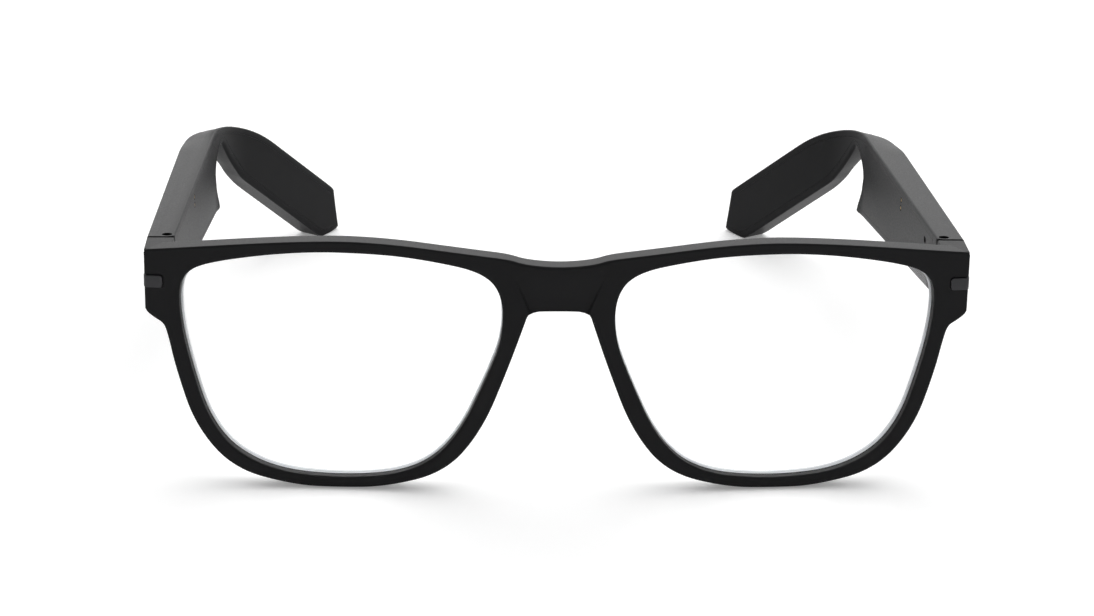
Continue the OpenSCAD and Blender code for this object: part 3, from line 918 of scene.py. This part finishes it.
for side, tag in ((1, "left"), (-1, "right")):
    plate = cover_plate()
    plate.name = "cover_plate_" + tag
    tools = [along_x(rod(0, 0, contact_r + contact_play, 0, 12, 32), contact_y, z) for z in contact_z]
    if side > 0:
        mic_low = (60, mic_y - 0.9 + origin_y, mic_z - 1)
        mic_high = (72, mic_y + 0.9 + origin_y, mic_z + 0.2)
        tools.append(block(mic_low, mic_high, 0.45))
    combine(plate, tools, "DIFFERENCE")
    if side < 0:
        turn_over(plate)
    finish(smooth_faces(plate), satin_nylon, tag + "_temple", "temple_plastic", "temple_cover_" + tag)


# ---- Hinges ----
# Five-barrel hinges stamped from stainless strip. The fixed leaf has three barrels, the moving one two.
# A slotted screw is the pin, and each leaf is held by two small screws along X.
def metal(name, colour, gloss, grain, stretch):
    """A bare metal whose roughness follows fine lines along one axis."""
    material, shader, place = new_material(name, {"Base Color": linear(colour), "Metallic": 1.0})
    lines = node(material, "ShaderNodeMapping", {"Scale": stretch}, Vector=place).outputs[0]
    fine = noise(material, lines, grain, 2.0)
    link = material.node_tree.links.new
    link(spread(material, fine, gloss - 0.08, gloss + 0.08), shader.inputs["Roughness"])
    bump = node(material, "ShaderNodeBump", {"Strength": 0.2, "Distance": 0.004 * MM}, Height=fine)
    link(bump.outputs[0], shader.inputs["Normal"])
    return material


def dress(node_name, material):
    """Gives its material to a piece that keeps the frame's own shape."""
    obj = frame["nodes"][node_name]
    obj.data.materials.clear()
    obj.data.materials.append(material)
    obj.data.shade_smooth()
    obj.data.set_sharp_from_angle(angle=math.radians(30))


# Stainless steel, stamped and tumbled: a soft grey sheen. The lines are drawn at 0.15 mm so that they show.
stamped_steel = metal("stainless_steel_stamped", "#b9babc", 0.38, 0.15, (1, 1, 4))
# Stainless steel, turned: brighter than the leaves, with rings too fine to see.
turned_steel = metal("stainless_steel_turned", "#c8c9ca", 0.28, 0.12, (1, 1, 1))
for tag in ("left", "right"):
    dress("front_hinge_leaf_" + tag, stamped_steel)
    dress("temple_hinge_leaf_" + tag, stamped_steel)
    for screws in ("front_leaf_screws_", "temple_leaf_screws_", "hinge_screw_"):
        dress(screws + tag, turned_steel)


# ---- Charging pins and magnets ----
# Two gold-plated pins come through each cover, and a small nickel-plated magnet behind it holds the charger.
# Hard gold plate on brass: warm, bright and slightly worn by the charger.
gold_plate = metal("gold_plate_on_brass", "#b8923e", 0.3, 0.2, (1, 1, 1))
# Nickel plate on a sintered magnet: a cool mirror-like skin over fine pits.
nickel_plate = metal("nickel_plate_sintered", "#b3b0a8", 0.22, 0.2, (1, 1, 1))
for tag in ("left", "right"):
    dress("charge_contacts_" + tag, gold_plate)
    dress("charge_magnet_" + tag, nickel_plate)


# ---- Buttons ----
# One long button under each temple, moulded in the same nylon, with a rounded face and a flange that
# keeps it in. A tactile switch sits above it.
button_out = 0.5
button_top = 2.3
crown_r = 0.22
flange_low = 1.75
flange_w = 0.4
# Nylon 12, injection moulded: a shade glossier than the shell, as from handling.
button_nylon = moulded("nylon_moulded_button_black", "#222223", "#262627", 0.34, 0.25, 0.01, 0.1)
for side, tag in ((1, "left"), (-1, "right")):
    crown = [(-button_out + crown_r * b, crown_r * a) for a, b in quarter(4)[1:]]
    flange = [(flange_low, 0), (flange_low, -flange_w), (button_top, -flange_w)]
    cap_piece = underside_pill(button_x, button_y, button_l, button_w, -button_out, button_top,
                               "button_cap_" + tag, [(-button_out, crown_r)] + crown + flange)
    if side < 0:
        turn_over(cap_piece)
    finish(smooth_faces(cap_piece), button_nylon, tag + "_button", "button_plastic", "action_button_" + tag)
    dress("button_switch_" + tag, stamped_steel)


# ---- Speakers ----
# A small boxed driver fires through a slot in the underside, which a woven steel mesh keeps clean.
def woven_mesh():
    """Black-oxide steel mesh, woven: square holes at 0.3 mm that show as a fine dotted field. The holes are
    painted near black as painted shade.
    """
    material, shader, place = new_material("steel_mesh_woven_black_painted_shade", {"Metallic": 1.0, "Roughness": 0.45})
    cells = node(material, "ShaderNodeTexVoronoi", {"Scale": per_mm(0.3), "Randomness": 0.0}, Vector=place)
    holes_shade_and_relief = spread(material, cells.outputs["Distance"], 1.0, 0.0, 0.25, 0.4)
    link = material.node_tree.links.new
    # The grey is the wire. The near-black in the holes is painted shade for the dark space behind the mesh.
    link(two_colours(material, holes_shade_and_relief, "#55565a", "#050505"), shader.inputs["Base Color"])
    relief = {"Strength": 0.6, "Distance": 0.05 * MM, "invert": True}
    bump = node(material, "ShaderNodeBump", relief, Height=holes_shade_and_relief)
    link(bump.outputs[0], shader.inputs["Normal"])
    return material


mesh_with_painted_shade_holes = woven_mesh()
# Pressed steel can with a dull zinc plate.
pressed_can = metal("steel_can_zinc_plated", "#8f9296", 0.42, 0.3, (1, 1, 1))
for tag in ("left", "right"):
    dress("speaker_mesh_" + tag, mesh_with_painted_shade_holes)
    dress("speaker_" + tag, pressed_can)


# ---- Boards, cells and leads ----
# Inside each temple: the circuit board on edge, the touch film against the outer wall, and a flex lead
# that runs through the bend to the pouch cell in the tip. The left temple also has the microphone's can.
def solder_mask():
    """Glass-epoxy board with green solder mask: glossy, with faint copper lines under the mask."""
    material, shader, place = new_material("glass_epoxy_solder_mask", {"Roughness": 0.3, "Coat Weight": 0.4})
    tracks = node(material, "ShaderNodeTexBrick", {
        "Scale": per_mm(1.2), "Color1": linear("#0d4a2c"), "Color2": linear("#11583a"),
        "Mortar": linear("#1d7a4c"), "Mortar Size": 0.06}, Vector=place)
    material.node_tree.links.new(tracks.outputs["Color"], shader.inputs["Base Color"])
    return material


# Aluminium laminate pouch: silver, softly wrinkled by the vacuum seal.
pouch_foil = metal("aluminium_laminate_pouch", "#b4b6ba", 0.35, 1.6, (1, 1, 1))
# Polyimide film over copper: translucent amber with a satin skin.
amber_film = moulded("polyimide_film_amber", "#8a4f10", "#a2621a", 0.35, 0.5, 0.01, 0.5)
board_finish = solder_mask()
for tag in ("left", "right"):
    dress("circuit_board_" + tag, board_finish)
    dress("battery_" + tag, pouch_foil)
    dress("battery_lead_" + tag, amber_film)
    dress("touch_sensor_" + tag, amber_film)
dress("microphone_left", mesh_with_painted_shade_holes)


# ---- Studio ----
# A white table under a large soft light, a bright wall behind and a darker room in front,
# with the camera a little above the glasses and facing them.
floor_z = cad_box[0][2]
floor_mesh = bpy.data.meshes.new("studio_floor")
floor_half = 4.0
floor_corners = [(floor_half * i, floor_half * j, floor_z) for i, j in ((-1, -1), (1, -1), (1, 1), (-1, 1))]
floor_mesh.from_pydata(floor_corners, [], [(0, 1, 2, 3)])
floor = bpy.data.objects.new("studio_floor", floor_mesh)
bpy.context.scene.collection.objects.link(floor)
# Matt white table paper, which gives a soft, even ground.
paper, paper_shader, paper_place = new_material("paper_matt_white", {
    "Roughness": 0.9, "Specular IOR Level": 0.0, "Emission Color": (1, 1, 1, 1), "Emission Strength": 0.25})
paper_tint = two_colours(paper, noise(paper, paper_place, 40.0), "#f7f7f7", "#f9f9f9")
paper.node_tree.links.new(paper_tint, paper_shader.inputs["Base Color"])
floor.data.materials.append(paper)

# The room: bright behind the glasses, most of all at middle height, and dim everywhere else
world = bpy.data.worlds.new("studio_room")
bpy.context.scene.world = world
world.use_nodes = True
world.node_tree.nodes.clear()
direction = node(world, "ShaderNodeTexCoord").outputs["Generated"]
toward = node(world, "ShaderNodeSeparateXYZ", Vector=direction)
behind = spread(world, toward.outputs["Y"], 0.0, 1.0, 0.2, 0.8)
rising = spread(world, toward.outputs["Z"], 0.25, 1.0, 0.08, 0.42)
falling = spread(world, toward.outputs["Z"], 1.0, 0.1, 0.5, 0.8)
wall = behind
for part in (rising, falling):
    product = node(world, "ShaderNodeMath", {"operation": "MULTIPLY"})
    world.node_tree.links.new(wall, product.inputs[0])
    world.node_tree.links.new(part, product.inputs[1])
    wall = product.outputs[0]
brightness = spread(world, wall, 0.15, 4.4, 0.0, 1.0)
sky = node(world, "ShaderNodeBackground", {"Color": (1, 1, 1, 1)}, Strength=brightness)
node(world, "ShaderNodeOutputWorld", Surface=sky.outputs[0])


def softbox(name, place, aim, width, height, watts):
    """A rectangular soft light that faces a point. Lengths are in metres."""
    light = bpy.data.lights.new(name, "AREA")
    light.shape = "RECTANGLE"
    light.size = width
    light.size_y = height
    light.energy = watts
    obj = bpy.data.objects.new(name, light)
    obj.location = place
    obj.rotation_euler = (Vector(aim) - Vector(place)).to_track_quat("-Z", "Y").to_euler()
    bpy.context.scene.collection.objects.link(obj)


softbox("softbox_above", (0.25, 0.3, 1.3), (0, 0, 0), 1.2, 1.2, 9)

camera_data = bpy.data.cameras.new("camera")
camera_data.sensor_width = 36
camera_data.lens = 95.82
camera_data.clip_start = 0.01
camera = bpy.data.objects.new("camera", camera_data)
bpy.context.scene.collection.objects.link(camera)
azimuth = math.radians(-2.4)
elevation = math.radians(21.15)
roll = math.radians(1.04)
distance = 0.51376
target = Vector((-2.27, origin_y, 35.54)) * MM
back = Vector((math.sin(azimuth) * math.cos(elevation), -math.cos(azimuth) * math.cos(elevation),
               math.sin(elevation)))
right = (-back).cross(Vector((0, 0, 1))).normalized()
up = right.cross(-back)
turned_right = right * math.cos(roll) + up * math.sin(roll)
turned_up = up * math.cos(roll) - right * math.sin(roll)
camera.matrix_world = Matrix.Translation(target + back * distance) @ Matrix(
    (turned_right, turned_up, back)).transposed().to_4x4()
bpy.context.scene.camera = camera
bpy.context.scene.view_settings.view_transform = "Standard"
